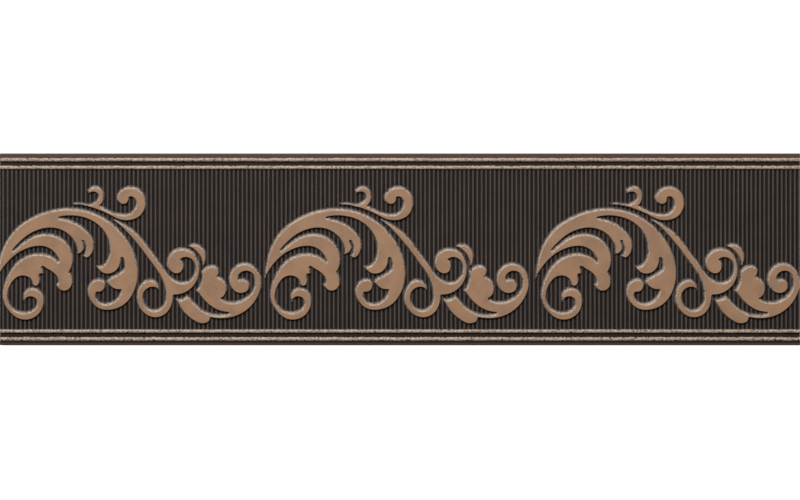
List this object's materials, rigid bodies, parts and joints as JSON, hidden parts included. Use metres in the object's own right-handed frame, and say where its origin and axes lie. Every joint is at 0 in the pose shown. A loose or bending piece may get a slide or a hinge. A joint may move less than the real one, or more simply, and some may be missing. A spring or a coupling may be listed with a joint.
{
  "type": "border tile",
  "caption": "Rectangular glazed ceramic border tile with a reeded ground, paired bead mouldings and raised acanthus scrolls, for edging tiled walls.",
  "frame": {"origin": "middle of the back face, which lies on the floor", "axes": "+X along the strip, the way the scrolls run; +Y across it, to the top of the pattern; +Z out of the decorated face"},
  "size_m": [0.3, 0.072, 0.009],
  "materials": {
    "dark_glaze": "satin"
  },
  "bodies": {
    "root": {"border_tile": "dark_glaze"}
  },
  "joints": []
}
